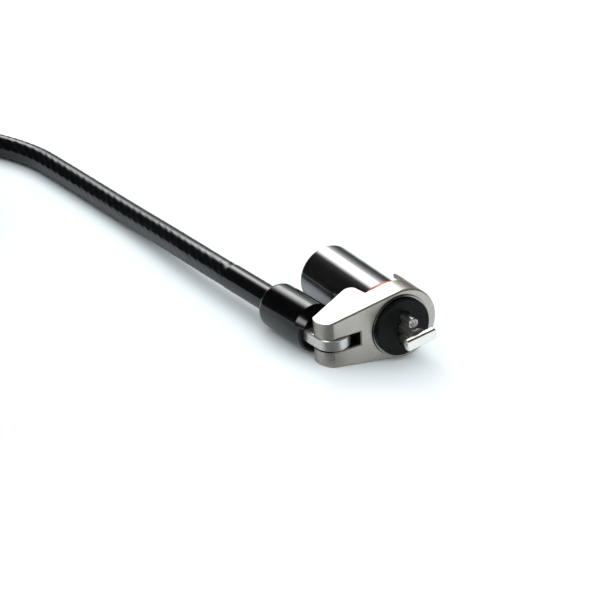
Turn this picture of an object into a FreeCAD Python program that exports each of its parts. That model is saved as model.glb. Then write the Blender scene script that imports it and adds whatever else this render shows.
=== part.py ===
import FreeCAD, Part
import math
import os

import Sketcher
from FreeCAD import Placement, Rotation, Vector

# Laptop cable lock, in millimetres: a barrel with a T-shaped bar, a teardrop
# bracket that swivels round it, an eye that folds in the bracket's slot, and
# a steel cable with a coil and an anchor loop.
# X is right, Y runs back along the barrel and Z is up. The origin is on the
# barrel's axis, in the plane of the bracket's front face.

SIZES = {
    # barrel
    "barrel_radius": 6.35,
    "barrel_back": 27.8,
    "barrel_front": 5.95,
    "barrel_bore": 5.75,
    "barrel_lip": 4.6,
    "lip_front": 27.0,
    "rear_round": 0.5,
    # lock body inside the barrel
    "rim_radius": 6.3,
    "rim_front": -0.45,
    "rim_back": 1.0,
    "journal_radius": 6.0,
    "core_bore": 5.2,
    "wall_front": 0.5,
    "wall_back": 2.65,
    "body_back": 26.6,
    "washer_radius": 6.9,
    "washer_front": 4.85,
    "groove_sink": 0.2,
    "groove_room": 0.3,
    "track_front": 1.8,
    "track_room": 0.04,
    # nose and its pins
    "nose_front": -1.4,
    "nose_bevel": -1.2,
    "nose_face_radius": 5.7,
    "nose_radius": 5.9,
    "hollow_radius": 2.0,
    "hollow_depth": 0.45,
    "pin_radius": 1.0,
    "pin_circle": 2.35,
    "pin_tip": -4.85,
    "pin_back": 2.2,
    "pin_chamfer": 0.15,
    "pin_recess": 1.35,
    "pin_line_angle": 95.8,
    # bar that turns in the laptop's slot
    "bar_front": -7.9,
    "bar_back": -6.45,
    "bar_half_length": 3.45,
    "bar_half_height": 1.15,
    "bar_round": 0.35,
    "bar_corner": 0.45,
    "bar_end_round": 0.5,
    "bar_angle": 17.3,
    "hub_radius": 1.8,
    "hub_edge": -6.2,
    "hub_back": -5.8,
    "stem_radius": 1.15,
    "stem_bore": 1.22,
    "tail_half_side": 0.8,
    "tail_groove": 0.75,
    "groove_back": 5.2,
    "tail_end": 5.75,
    "clip_radius": 2.1,
    "clip_front": 4.62,
    "clip_back": 5.15,
    "clip_mouth_half": 0.65,
    # core, discs and side bar
    "core_front": 2.7,
    "core_floor": 4.6,
    "core_back": 24.4,
    "core_radius": 5.15,
    "cup_radius": 4.3,
    "disc_radius": 4.22,
    "disc_first": 5.85,
    "disc_thickness": 1.6,
    "disc_pitch": 2.45,
    "spacer_thickness": 0.78,
    "spacer_room": 0.03,
    "spacer_hole": 2.9,
    "keyway_half_width": 1.1,
    "keyway_half_height": 2.5,
    "gate_radius": 0.66,
    "bar_circle": 4.42,
    "side_bar_radius": 0.6,
    "side_bar_front": 5.9,
    "side_bar_back": 22.9,
    "core_slot_half": 0.68,
    "core_slot_room": 0.1,
    "false_gate_radius": 0.45,
    "false_gate_first": 130,
    "false_gate_step": 25,
    "key_disc_front": 23.0,
    "key_disc_back": 26.95,
    "key_disc_radius": 5.1,
    "key_recess": 0.5,
    "key_step_room": 0.03,
    "dish_radius": 4.2,
    "dish_floor_radius": 3.7,
    "ear_room": 0.05,
    "ear_half_width": 1.0,
    "stop_radius": 0.45,
    "stop_circle": 4.2,
    "stop_front": 1.9,
    "stop_back": 3.6,
    "stop_angle": 45,
    "turn_range": 90,
    # bracket
    "bracket_tilt": 8.9,
    "flank_angle": 8.9,
    "flank_radius": 7.03,
    "bulge_offset": 1.05,
    "ring_back": 4.8,
    "ring_bore": 6.06,
    "rim_pocket": 6.4,
    "rim_pocket_back": 1.05,
    "wing_bore": 7.05,
    "wing_back": 8.8,
    "wing_side": 3.75,
    "wing_round": 1.2,
    "web_side": -4.75,
    "web_corner_x": -5.35,
    "web_corner_y": 9.78,
    "web_round": 1.55,
    "lug_x": -13.3,
    "lug_y": 3.25,
    "lug_radius": 3.6,
    "lug_tip_x": -16.5,
    "lug_tip_y": 4.99,
    "slot_end": -8.9,
    "slot_low": -1.5,
    "slot_high": 1.2,
    "edge_round": 0.35,
    # hinge pin and eye
    "hinge_x": -13.4,
    "hinge_y": 3.3,
    "hinge_radius": 1.25,
    "hinge_low": -4.7,
    "hinge_high": 3.6,
    "eye_bore": 1.32,
    "eye_radius": 3.5,
    "eye_low": -1.4,
    "eye_high": 1.1,
    "eye_round": 0.35,
    "strap_end": 6.6,
    "socket_front": 6.2,
    "socket_back": 15.0,
    "socket_radius": 3.4,
    # boot and sleeve, measured from the hinge along the cable
    "cable_angle": 4.8,
    "boot_front": 4.3,
    "boot_front_radius": 4.35,
    "boot_shoulder": 4.7,
    "boot_back": 19.4,
    "boot_radius": 4.7,
    "boot_round": 1.8,
    "boot_bevel_radius": 3.7,
    "boot_bevel_end": 6.2,
    "boot_bevel_span": 140,
    "boot_web_slope": 0.333,
    "boot_web_start": 3.9,
    "sleeve_radius": 2.72,
    "sleeve_back": 34.8,
    "rope_radius": 2.0,
    "rope_front": 8.1,
    # cable
    "cable_radius": 2.65,
    "floor": -7.03,
}

SHEET = "Sizes"
OUTSIDE = 1.0  # how far a cut starts and ends outside the solid
FAR = 30.0  # beyond every solid of the head
FAR_LEFT = -20.0
FAR_RIGHT = 9.0
DISCS = 7
DISC_SHUFFLE = 3  # step between neighbours' false gates


class Size:
    """A length or an angle, as a number and as the same sum on the sheet."""

    def __init__(self, number, text):
        self.number = number
        self.text = text

    def joined(self, sign, other, number):
        return Size(number, "(%s %s %s)" % (self.text, sign, as_size(other).text))

    def __add__(self, other):
        return self.joined("+", other, self.number + as_size(other).number)

    def __sub__(self, other):
        return self.joined("-", other, self.number - as_size(other).number)

    def __mul__(self, other):
        return self.joined("*", other, self.number * as_size(other).number)

    def __truediv__(self, other):
        return self.joined("/", other, self.number / as_size(other).number)

    def __neg__(self):
        return Size(-self.number, "(0 - %s)" % self.text)


def as_size(value):
    if isinstance(value, Size):
        return value
    return Size(float(value), "%.6f" % value)


def size(alias):
    return Size(float(SIZES[alias]), "%s.%s" % (SHEET, alias))


def sine(angle):
    return Size(math.sin(math.radians(angle.number)), "sin(%s)" % angle.text)


def cosine(angle):
    return Size(math.cos(math.radians(angle.number)), "cos(%s)" % angle.text)


def leg(longest, other):
    """The third side of a right-angled triangle."""
    number = math.sqrt(longest.number**2 - other.number**2)
    return Size(number, "sqrt(%s ^ 2 - %s ^ 2)" % (longest.text, other.text))


def write_sheet(document):
    sheet = document.addObject("Spreadsheet::Sheet", SHEET)
    for row, (alias, number) in enumerate(SIZES.items(), start=1):
        sheet.set("A%d" % row, alias)
        sheet.set("B%d" % row, "%g" % number)
        sheet.setAlias("B%d" % row, alias)
    document.recompute()


# Sketches and features

def origin_plane(body, role):
    for feature in body.Origin.OriginFeatures:
        if feature.Role == role:
            return feature
    raise ValueError("no plane " + role)


def new_sketch(body, name, role, lift=None):
    """A sketch on one of the body's own planes, lifted along the plane's normal."""
    sketch = body.newObject("Sketcher::SketchObject", body.Name + "_" + name)
    sketch.AttachmentSupport = (origin_plane(body, role), "")
    sketch.MapMode = "FlatFace"
    if lift is not None:
        sketch.AttachmentOffset = Placement(Vector(0, 0, lift.number), Rotation())
        sketch.setExpression("AttachmentOffset.Base.z", lift.text)
    return sketch


def fix(sketch, kind, which, value):
    """Hold one point's distance from the sketch's origin, or keep it on the axis."""
    if abs(value.number) < 1e-9:
        axis = -2 if kind == "DistanceX" else -1
        sketch.addConstraint(Sketcher.Constraint("PointOnObject", which[0], which[1], axis))
        return
    row = sketch.addConstraint(Sketcher.Constraint(kind, -1, 1, which[0], which[1], value.number))
    sketch.setExpression("Constraints[%d]" % row, value.text)


def arc_between(start, stop, radius):
    """An arc of under a half turn; a positive radius bulges to the right of its way."""
    chord = stop - start
    middle = (start + stop) * 0.5
    across = Vector(chord.y, -chord.x, 0).normalize()
    inward = math.sqrt(max(radius * radius - chord.Length**2 / 4, 0.0))
    side = math.copysign(1.0, radius)
    centre = middle - across * (side * inward)
    top = centre + across * (side * abs(radius))
    return Part.Arc(start, top, stop)


def draw(sketch, corners):
    """A closed outline. A corner is (x, y), or (x, y, radius) where an arc leaves it."""
    first = sketch.GeometryCount
    places = [Vector(as_size(c[0]).number, as_size(c[1]).number, 0) for c in corners]
    count = len(corners)
    for number, corner in enumerate(corners):
        start, stop = places[number], places[(number + 1) % count]
        if len(corner) == 3:
            sketch.addGeometry(arc_between(start, stop, as_size(corner[2]).number), False)
        else:
            sketch.addGeometry(Part.LineSegment(start, stop), False)
    ends = []
    for number in range(count):
        forward = True
        curve = sketch.Geometry[first + number]
        if isinstance(curve, Part.ArcOfCircle):
            forward = (curve.StartPoint - places[number]).Length < 1e-6
        ends.append((1, 2) if forward else (2, 1))
    for number in range(count):
        after = (number + 1) % count
        sketch.addConstraint(
            Sketcher.Constraint(
                "Coincident", first + number, ends[number][1], first + after, ends[after][0]
            )
        )
    for number, corner in enumerate(corners):
        which = (first + number, ends[number][0])
        fix(sketch, "DistanceX", which, as_size(corner[0]))
        fix(sketch, "DistanceY", which, as_size(corner[1]))
        if len(corner) == 3:
            radius = as_size(corner[2])
            row = sketch.addConstraint(
                Sketcher.Constraint("Radius", first + number, abs(radius.number))
            )
            sketch.setExpression("Constraints[%d]" % row, "abs(%s)" % radius.text)


def draw_circle(sketch, x, y, radius):
    x, y, radius = as_size(x), as_size(y), as_size(radius)
    place = Vector(x.number, y.number, 0)
    number = sketch.addGeometry(Part.Circle(place, Vector(0, 0, 1), radius.number), False)
    fix(sketch, "DistanceX", (number, 3), x)
    fix(sketch, "DistanceY", (number, 3), y)
    row = sketch.addConstraint(Sketcher.Constraint("Radius", number, radius.number))
    sketch.setExpression("Constraints[%d]" % row, radius.text)


def new_body(document, name):
    body = document.addObject("PartDesign::Body", name)
    body.Label = name
    return body


def swept_round(body, kind, name, corners, angle=None):
    """Turn an outline of (distance along Y, radius) round the Y axis."""
    sketch = new_sketch(body, name, "YZ_Plane")
    draw(sketch, corners)
    feature = body.newObject("PartDesign::" + kind, body.Name + "_" + name + "_turn")
    feature.Profile = sketch
    feature.ReferenceAxis = (sketch, ["H_Axis"])
    feature.Angle = 360
    if angle is not None:
        feature.Midplane = True
        feature.setExpression("Angle", angle.text)
    sketch.Visibility = False
    return feature


def ring(document, name, front, back, inner, outer):
    """A plain round piece between two radii."""
    body = new_body(document, name)
    corners = [(front, inner), (front, outer), (back, outer), (back, inner)]
    swept_round(body, "Revolution", "profile", corners)
    return body


def extruded(body, kind, name, role, lift, length, shape, forward=True):
    """Pad or pocket a drawing; shape is a function that draws it."""
    sketch = new_sketch(body, name, role, lift)
    shape(sketch)
    feature = body.newObject("PartDesign::" + kind, body.Name + "_" + name + "_run")
    feature.Profile = sketch
    feature.Type = 0
    length = as_size(length)
    feature.Length = length.number
    feature.setExpression("Length", length.text)
    feature.Reversed = not forward
    sketch.Visibility = False
    return feature


def pad_back(body, name, front, length, shape):
    """Pad towards +Y from a drawing in X and Z."""
    return extruded(body, "Pad", name, "XZ_Plane", -as_size(front), length, shape, False)


def cut_back(body, name, front, length, shape):
    """Cut towards +Y from a drawing in X and Z."""
    return extruded(body, "Pocket", name, "XZ_Plane", -as_size(front), length, shape, True)


def cut_down(body, name, top, length, shape):
    """Cut towards -Z from a drawing in X and Y."""
    return extruded(body, "Pocket", name, "XY_Plane", as_size(top), length, shape, True)


def box_drawing(low_x, high_x, low_y, high_y):
    corners = [(low_x, low_y), (high_x, low_y), (high_x, high_y), (low_x, high_y)]
    return lambda sketch: draw(sketch, corners)


def circle_drawing(x, y, radius):
    return lambda sketch: draw_circle(sketch, x, y, radius)


def edges_where(shape, test):
    return ["Edge%d" % (n + 1) for n, edge in enumerate(shape.Edges) if test(edge)]


def dress(document, body, kind, name, test, amount):
    """Round or chamfer the edges of the last feature that pass the test."""
    document.recompute()
    base = body.Tip
    names = edges_where(base.Shape, test)
    if not names:
        raise ValueError("no edges for " + name)
    feature = body.newObject("PartDesign::" + kind, body.Name + "_" + name)
    feature.Base = (base, names)
    prop = "Radius" if kind == "Fillet" else "Size"
    feature.setExpression(prop, amount.text)
    return feature


def in_plane_y(edge, y):
    box = edge.BoundBox
    return abs(box.YMin - y) < 1e-4 and abs(box.YMax - y) < 1e-4


# Places

def turned(angle):
    """Turned about the barrel, anticlockwise as seen from the front."""
    return Placement(Vector(0, 0, 0), Rotation(Vector(0, -1, 0), angle))


def bracket_place():
    return turned(SIZES["bracket_tilt"])


def cable_end_place():
    """From the hinge, along the cable's straight end."""
    hinge = Placement(
        Vector(SIZES["hinge_x"], SIZES["hinge_y"], 0),
        Rotation(Vector(0, 0, 1), SIZES["cable_angle"]),
    )
    return bracket_place().multiply(hinge)


# Barrel

def lock_body(document):
    """Inner body: front rim, journal for the bracket and bore for the core."""
    body = new_body(document, "lock_body")
    corners = [
        (size("rim_front"), size("nose_radius")),
        (size("rim_front"), size("rim_radius")),
        (size("rim_back"), size("rim_radius")),
        (size("rim_back"), size("journal_radius")),
        (size("barrel_front"), size("journal_radius")),
        (size("barrel_front"), size("barrel_bore")),
        (size("body_back"), size("barrel_bore")),
        (size("body_back"), size("core_bore")),
        (size("wall_back"), size("core_bore")),
        (size("wall_back"), size("stem_bore")),
        (size("wall_front"), size("stem_bore")),
        (size("wall_front"), size("nose_radius")),
    ]
    swept_round(body, "Revolution", "profile", corners)
    depth = size("pin_back") - size("wall_front") + OUTSIDE
    for name, side in (("pin_hole_upper", 1), ("pin_hole_lower", -1)):
        drawing = circle_drawing(0, size("pin_circle") * side, size("pin_radius"))
        cut_back(body, name, size("wall_front") - OUTSIDE, depth, drawing)
    # groove for the side bar when the lock is shut
    groove = circle_drawing(0, size("core_bore") - size("groove_sink"), size("gate_radius"))
    room = size("groove_room")
    length = size("side_bar_back") - size("side_bar_front") + room * 2
    cut_back(body, "bar_groove", size("side_bar_front") - room, length, groove)
    # curved track that lets the core turn a quarter turn and no more
    half = size("stop_radius") + size("track_room")
    track = [
        (size("track_front"), size("stop_circle") - half),
        (size("track_front"), size("stop_circle") + half),
        (size("wall_back") + OUTSIDE, size("stop_circle") + half),
        (size("wall_back") + OUTSIDE, size("stop_circle") - half),
    ]
    margin = math.degrees(2 * half.number / SIZES["stop_circle"])
    swept_round(body, "Groove", "stop_track", track, size("turn_range") + margin)
    body.Placement = turned(SIZES["pin_line_angle"] - 90)
    return body


def barrel_shell(document):
    """Outer tube, pressed on from behind; its lip keeps the core in."""
    body = new_body(document, "barrel_shell")
    corners = [
        (size("barrel_front"), size("barrel_bore")),
        (size("barrel_front"), size("barrel_radius")),
        (size("barrel_back"), size("barrel_radius")),
        (size("barrel_back"), size("barrel_lip")),
        (size("lip_front"), size("barrel_lip")),
        (size("lip_front"), size("barrel_bore")),
    ]
    swept_round(body, "Revolution", "profile", corners)
    back = SIZES["barrel_back"]
    dress(document, body, "Fillet", "rear_rounds", lambda e: in_plane_y(e, back),
          size("rear_round"))
    return body


def nose_disc(document):
    """Hard black disc that meets the laptop, with a hollow round the stem."""
    body = new_body(document, "nose_disc")
    corners = [
        (size("nose_front"), size("hollow_radius")),
        (size("nose_front"), size("nose_face_radius")),
        (size("nose_bevel"), size("nose_radius")),
        (size("wall_front"), size("nose_radius")),
        (size("wall_front"), size("stem_bore")),
        (size("nose_front") + size("hollow_depth"), size("stem_bore")),
        (size("nose_front") + size("hollow_depth"), size("hollow_radius")),
    ]
    swept_round(body, "Revolution", "profile", corners)
    for name, side in (("upper", 1), ("lower", -1)):
        height, front = size("pin_circle") * side, size("nose_front") - OUTSIDE
        cut_back(body, "pin_hole_" + name, front, size("wall_front") - front + OUTSIDE,
                 circle_drawing(0, height, size("pin_radius")))
        cut_back(body, "pin_recess_" + name, front, size("hollow_depth") + OUTSIDE,
                 circle_drawing(0, height, size("pin_recess")))
    body.Placement = turned(SIZES["pin_line_angle"] - 90)
    return body


def guard_pin(document, name, angle):
    """Fixed pin beside the stem, on the barrel's front."""
    body = new_body(document, name)
    chamfer = size("pin_chamfer")
    corners = [
        (size("pin_tip"), 0),
        (size("pin_tip"), size("pin_radius") - chamfer),
        (size("pin_tip") + chamfer, size("pin_radius")),
        (size("pin_back"), size("pin_radius")),
        (size("pin_back"), 0),
    ]
    swept_round(body, "Revolution", "profile", corners)
    reach = SIZES["pin_circle"]
    along = math.radians(angle)
    body.Placement = Placement(
        Vector(reach * math.cos(along), 0, reach * math.sin(along)), Rotation()
    )
    return body


# Core

def t_bar(document):
    """T-shaped head, hub, round stem and square tail with a clip groove."""
    body = new_body(document, "t_bar")
    reach, half = size("bar_half_length"), size("bar_half_height")
    side = leg(reach, half)
    head = [
        (-side, -half),
        (side, -half, reach),
        (side, half),
        (-side, half, reach),
    ]
    pad_back(body, "head", size("bar_front"), size("bar_back") - size("bar_front"),
             lambda sketch: draw(sketch, head))
    front, back = SIZES["bar_front"], SIZES["bar_back"]
    dress(document, body, "Fillet", "corner_rounds",
          lambda e: e.BoundBox.YLength > (back - front) / 2, size("bar_corner"))
    dress(document, body, "Fillet", "head_round", lambda e: in_plane_y(e, front),
          size("bar_round"))
    dress(document, body, "Fillet", "end_rounds",
          lambda e: in_plane_y(e, back) and e.BoundBox.XLength < SIZES["bar_half_height"],
          size("bar_end_round"))
    stem = [
        (size("bar_back"), 0),
        (size("bar_back"), size("hub_radius")),
        (size("hub_edge"), size("hub_radius")),
        (size("hub_back"), size("stem_radius")),
        (size("core_front"), size("stem_radius")),
        (size("core_front"), 0),
    ]
    swept_round(body, "Revolution", "stem", stem)
    flat = size("tail_half_side")
    pad_back(body, "tail", size("core_front"), size("core_floor") - size("core_front"),
             box_drawing(-flat, flat, -flat, flat))
    neck = [
        (size("core_floor"), 0),
        (size("core_floor"), size("tail_groove")),
        (size("groove_back"), size("tail_groove")),
        (size("groove_back"), size("stem_radius")),
        (size("tail_end"), size("stem_radius")),
        (size("tail_end"), 0),
    ]
    swept_round(body, "Revolution", "neck", neck)
    body.Placement = turned(SIZES["bar_angle"])
    return body


def stem_clip(document):
    """Open clip that holds the tail in the core."""
    body = ring(document, "stem_clip", size("clip_front"), size("clip_back"),
                size("tail_groove"), size("clip_radius"))
    mouth, front = size("clip_mouth_half"), size("clip_front") - OUTSIDE
    cut_back(body, "mouth", front, size("clip_back") - front + OUTSIDE,
             box_drawing(-mouth, mouth, -size("clip_radius") - OUTSIDE, 0))
    body.Placement = turned(SIZES["bar_angle"])
    return body


def lock_core(document):
    """Turning cup that holds the discs, with a slot for the side bar."""
    body = new_body(document, "lock_core")
    corners = [
        (size("core_front"), 0),
        (size("core_front"), size("core_radius")),
        (size("core_back"), size("core_radius")),
        (size("core_back"), size("cup_radius")),
        (size("core_floor"), size("cup_radius")),
        (size("core_floor"), 0),
    ]
    swept_round(body, "Revolution", "profile", corners)
    flat = size("tail_half_side")
    front = size("core_front") - OUTSIDE
    cut_back(body, "tail_hole", front, size("core_floor") - front + OUTSIDE,
             box_drawing(-flat, flat, -flat, flat))
    half, room = size("core_slot_half"), size("core_slot_room")
    ear, out = size("ear_half_width"), size("core_radius") + OUTSIDE
    length = size("side_bar_back") - size("side_bar_front") + room * 2
    cut_back(body, "bar_slot", size("side_bar_front") - room, length,
             box_drawing(-half, half, size("cup_radius") - OUTSIDE, out))
    cut_back(body, "ear_notches", size("key_disc_front"),
             size("core_back") - size("key_disc_front") + OUTSIDE,
             box_drawing(-out, out, -ear, ear))
    away = math.radians(SIZES["stop_angle"])
    cut_back(body, "stop_hole", front, size("stop_back") - front,
             circle_drawing(size("stop_circle") * math.cos(away),
                            size("stop_circle") * math.sin(away), size("stop_radius")))
    body.Placement = turned(SIZES["bar_angle"])
    return body


def stop_pin(document):
    """Pin in the core's front that runs in the body's curved track."""
    body = ring(document, "stop_pin", size("stop_front"), size("stop_back"), 0,
                size("stop_radius"))
    along = math.radians(SIZES["stop_angle"] + SIZES["bar_angle"])
    reach = SIZES["stop_circle"]
    body.Placement = Placement(
        Vector(reach * math.cos(along), 0, reach * math.sin(along)), Rotation()
    )
    return body


def keyway(body, front, back):
    """Upright slot with round ends, right through."""
    wide, high = size("keyway_half_width"), size("keyway_half_height")
    straight = high - wide
    corners = [
        (wide, -straight),
        (wide, straight, wide),
        (0, high, wide),
        (-wide, straight),
        (-wide, -straight, wide),
        (0, -high, wide),
    ]
    start = front - OUTSIDE
    cut_back(body, "keyway", start, back - start + OUTSIDE, lambda sketch: draw(sketch, corners))


def code_disc(document, number):
    """Coded disc: keyway, true gate at the top and one false gate."""
    front = size("disc_first") + size("disc_pitch") * number
    back = front + size("disc_thickness")
    body = ring(document, "code_disc_%d" % (number + 1), front, back, 0, size("disc_radius"))
    keyway(body, front, back)
    start, through = front - OUTSIDE, size("disc_thickness") + 2 * OUTSIDE
    cut_back(body, "gate", start, through,
             circle_drawing(0, size("bar_circle"), size("gate_radius")))
    place = number * DISC_SHUFFLE % DISCS
    away = math.radians(SIZES["false_gate_first"] + SIZES["false_gate_step"] * place)
    reach = size("disc_radius")
    cut_back(body, "false_gate", start, through,
             circle_drawing(reach * math.cos(away), reach * math.sin(away),
                            size("false_gate_radius")))
    body.Placement = turned(SIZES["bar_angle"])
    return body


def disc_spacer(document, number):
    """Washer between two discs, notched for the side bar."""
    front = (size("disc_first") + size("disc_pitch") * number + size("disc_thickness")
             + size("spacer_room"))
    body = ring(document, "disc_spacer_%d" % (number + 1), front,
                front + size("spacer_thickness"), size("spacer_hole"), size("disc_radius"))
    cut_back(body, "notch", front - OUTSIDE, size("spacer_thickness") + 2 * OUTSIDE,
             circle_drawing(0, size("bar_circle"), size("gate_radius")))
    body.Placement = turned(SIZES["bar_angle"])
    return body


def side_bar(document):
    """Bar that drops into the gates when the right key lines them up."""
    body = ring(document, "side_bar", size("side_bar_front"), size("side_bar_back"), 0,
                size("side_bar_radius"))
    along = math.radians(90 + SIZES["bar_angle"])
    reach = SIZES["bar_circle"]
    body.Placement = Placement(
        Vector(reach * math.cos(along), 0, reach * math.sin(along)), Rotation()
    )
    return body


def key_disc(document):
    """Hardened disc at the rear mouth; its ears drive the core."""
    body = new_body(document, "key_disc")
    step = size("core_back") + size("key_step_room")
    recess = size("key_disc_back") - size("key_recess")
    corners = [
        (size("key_disc_front"), 0),
        (size("key_disc_front"), size("disc_radius")),
        (step, size("disc_radius")),
        (step, size("key_disc_radius")),
        (size("key_disc_back"), size("key_disc_radius")),
        (size("key_disc_back"), size("dish_radius")),
        (recess, size("dish_floor_radius")),
        (recess, 0),
    ]
    swept_round(body, "Revolution", "profile", corners)
    ear, out = size("ear_half_width") - size("ear_room"), size("key_disc_radius")
    pad_back(body, "ears", size("key_disc_front"), step - size("key_disc_front"),
             box_drawing(-leg(out, ear), leg(out, ear), -ear, ear))
    keyway(body, size("key_disc_front"), size("key_disc_back"))
    body.Placement = turned(SIZES["bar_angle"])
    return body


# Bracket

def teardrop(sketch):
    """Round bulge with two straight flanks that close towards the lug."""
    slope = size("flank_angle")
    offset = size("bulge_offset")
    bulge = size("flank_radius") + offset * sine(slope)
    far = as_size(-FAR_LEFT)
    high = (size("flank_radius") - far * sine(slope)) / cosine(slope)
    touch_x = offset - bulge * sine(slope)
    touch_z = bulge * cosine(slope)
    corners = [
        (touch_x, -touch_z, bulge),
        (offset + bulge, 0, bulge),
        (touch_x, touch_z),
        (-far, high),
        (-far, -high),
    ]
    draw(sketch, corners)


def bracket_plan(sketch):
    """Seen from above: lug, slanting web, ring and the wing on the far side."""
    out = as_size(FAR)
    draw(sketch, [(-out, -out), (out, -out), (out, out), (-out, out)])
    right = as_size(FAR_RIGHT)
    lug_front = size("lug_x") - leg(size("lug_radius"), size("lug_y"))
    corner = Vector(SIZES["web_corner_x"], SIZES["web_corner_y"], 0)
    tip = Vector(SIZES["lug_tip_x"], SIZES["lug_tip_y"], 0)
    foot = Vector(SIZES["web_side"], SIZES["ring_back"], 0)
    to_tip = (tip - corner).normalize()
    to_foot = (foot - corner).normalize()
    reach = SIZES["web_round"] / math.tan(to_tip.getAngle(to_foot) / 2)
    on_web, on_side = corner + to_tip * reach, corner + to_foot * reach
    corners = [
        (right, 0),
        (right, size("wing_back")),
        (size("wing_side") + size("wing_round"), size("wing_back"), size("wing_round")),
        (size("wing_side"), size("wing_back") - size("wing_round")),
        (size("wing_side"), size("ring_back")),
        (size("web_side"), size("ring_back")),
        (on_side.x, on_side.y, size("web_round")),
        (on_web.x, on_web.y),
        (size("lug_tip_x"), size("lug_tip_y"), size("lug_radius")),
        (size("lug_x") - size("lug_radius"), size("lug_y"), size("lug_radius")),
        (lug_front, 0),
    ]
    draw(sketch, corners)


def swivel_bracket(document):
    """Teardrop that turns on the journal, slotted for the eye."""
    body = new_body(document, "swivel_bracket")
    pad_back(body, "teardrop", 0, size("web_corner_y") + OUTSIDE, teardrop)
    cut_down(body, "plan", FAR, 2 * FAR, bracket_plan)
    bores = [
        (-OUTSIDE, 0),
        (-OUTSIDE, size("rim_pocket")),
        (size("rim_pocket_back"), size("rim_pocket")),
        (size("rim_pocket_back"), size("ring_bore")),
        (size("ring_back"), size("ring_bore")),
        (size("ring_back"), size("wing_bore")),
        (FAR, size("wing_bore")),
        (FAR, 0),
    ]
    swept_round(body, "Groove", "bores", bores)
    cut_back(body, "slot", -OUTSIDE, FAR,
             box_drawing(FAR_LEFT, size("slot_end"), size("slot_low"), size("slot_high")))
    cut_down(body, "pin_hole", size("hinge_high"), FAR,
             circle_drawing(size("hinge_x"), size("hinge_y"), size("hinge_radius")))

    def outer_front_edge(edge):
        bore_edge = edge.BoundBox.XMin > -size("rim_pocket").number - 1e-3 and edge.Closed
        return in_plane_y(edge, 0) and not bore_edge

    dress(document, body, "Fillet", "front_round", outer_front_edge, size("edge_round"))
    body.Placement = bracket_place()
    return body


def hinge_pin(document):
    """Pin through the slotted lug, blind at the top and flush below."""
    low, high = size("hinge_low"), size("hinge_high")
    pin = document.addObject("Part::Cylinder", "hinge_pin")
    pin.Label = "hinge_pin"
    pin.setExpression("Radius", size("hinge_radius").text)
    pin.setExpression("Height", (high - low).text)
    place = Placement(
        Vector(SIZES["hinge_x"], SIZES["hinge_y"], SIZES["hinge_low"]), Rotation()
    )
    pin.Placement = bracket_place().multiply(place)
    return pin


# Cable end

def eye_tang(document):
    """Flat eye with a round socket for the rope behind it."""
    body = new_body(document, "eye_tang")
    half = size("eye_radius")
    plate = [
        (0, -half, half),
        (half, 0),
        (half, size("strap_end")),
        (-half, size("strap_end")),
        (-half, 0, half),
    ]
    thick = size("eye_high") - size("eye_low")
    extruded(body, "Pad", "plate", "XY_Plane", size("eye_low"), thick,
             lambda sketch: draw(sketch, plate), True)

    def rim(edge):
        flat = abs(edge.BoundBox.ZMax - edge.BoundBox.ZMin) < 1e-4
        return flat and edge.BoundBox.YMin < SIZES["strap_end"] / 2

    dress(document, body, "Fillet", "plate_round", rim, size("eye_round"))
    socket = [
        (size("socket_front"), 0),
        (size("socket_front"), size("socket_radius")),
        (size("socket_back"), size("socket_radius")),
        (size("socket_back"), size("rope_radius")),
        (size("rope_front"), size("rope_radius")),
        (size("rope_front"), 0),
    ]
    swept_round(body, "Revolution", "socket", socket)
    cut_down(body, "eye", FAR, 2 * FAR, circle_drawing(0, 0, size("eye_bore")))
    body.Placement = cable_end_place()
    return body


def cable_boot(document):
    """Moulded boot over the socket, bevelled round the top of its front."""
    body = new_body(document, "cable_boot")
    corners = [
        (size("boot_front"), 0),
        (size("boot_front"), size("boot_front_radius")),
        (size("boot_shoulder"), size("boot_radius")),
        (size("boot_back"), size("boot_radius")),
        (size("boot_back"), size("sleeve_radius")),
        (size("socket_back"), size("sleeve_radius")),
        (size("socket_back"), size("socket_radius")),
        (size("socket_front"), size("socket_radius")),
        (size("socket_front"), 0),
    ]
    swept_round(body, "Revolution", "profile", corners)
    back = SIZES["boot_back"]
    dress(document, body, "Fillet", "rear_round",
          lambda e: in_plane_y(e, back) and e.BoundBox.XMax > SIZES["sleeve_radius"] + 1e-3,
          size("boot_round"))
    front, end, out = size("boot_front"), size("boot_bevel_end"), size("boot_radius") + OUTSIDE
    ahead, start, slope = front - OUTSIDE, size("boot_web_start"), size("boot_web_slope")
    bevel = [
        (ahead, size("boot_bevel_radius")),
        (front, size("boot_bevel_radius")),
        (end, size("boot_radius")),
        (end, out),
        (ahead, out),
    ]
    swept_round(body, "Groove", "bevel", bevel, size("boot_bevel_span"))
    beside_web = [((ahead - start) / slope, ahead), (out, ahead), (out, start + slope * out)]
    cut_down(body, "web_side", FAR, 2 * FAR, lambda sketch: draw(sketch, beside_web))
    half = size("eye_radius")
    cut_back(body, "plate_slot", ahead, size("strap_end") - ahead,
             box_drawing(-half, half, size("eye_low"), size("eye_high")))
    body.Placement = cable_end_place()
    return body


def rope_core(document):
    """Bare steel rope, from the socket to the sleeve's end."""
    body = ring(document, "rope_core", size("rope_front"), size("sleeve_back"), 0,
                size("rope_radius"))
    body.Placement = cable_end_place()
    return body


def smooth_sleeve(document):
    """Smooth sleeve behind the boot."""
    body = ring(document, "smooth_sleeve", size("socket_back"), size("sleeve_back"),
                size("rope_radius"), size("sleeve_radius"))
    body.Placement = cable_end_place()
    return body


# Free cable

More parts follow.
